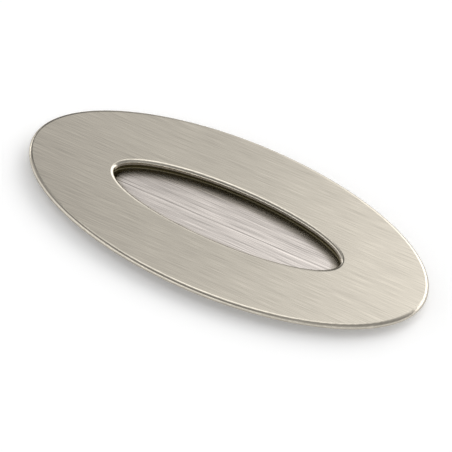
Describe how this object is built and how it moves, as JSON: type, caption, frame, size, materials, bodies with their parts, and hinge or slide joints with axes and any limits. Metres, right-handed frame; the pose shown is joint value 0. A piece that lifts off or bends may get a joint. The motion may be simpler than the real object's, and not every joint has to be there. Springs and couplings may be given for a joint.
{
  "type": "oval flush pull",
  "caption": "Oval flush pull with a flat elliptical face plate, rounded edges and a drawn finger cup behind an elliptical opening, fixed from behind.",
  "frame": {"origin": "under the middle of the finger cup, on the surface that the pull rests on", "axes": "+X along the length of the oval, +Y across its width, +Z out of the face, away from the door"},
  "size_m": [0.16, 0.072, 0.006],
  "materials": {
    "plate_metal": "satin nickel, fine brushing along the length",
    "cup_metal": "satin nickel, coarser brushing along the length",
    "bush_metal": "turned, plain"
  },
  "bodies": {
    "root": {"face_plate": "plate_metal", "finger_cup": "cup_metal", "fixing_bush_left": "bush_metal", "fixing_bush_right": "bush_metal"}
  },
  "joints": []
}
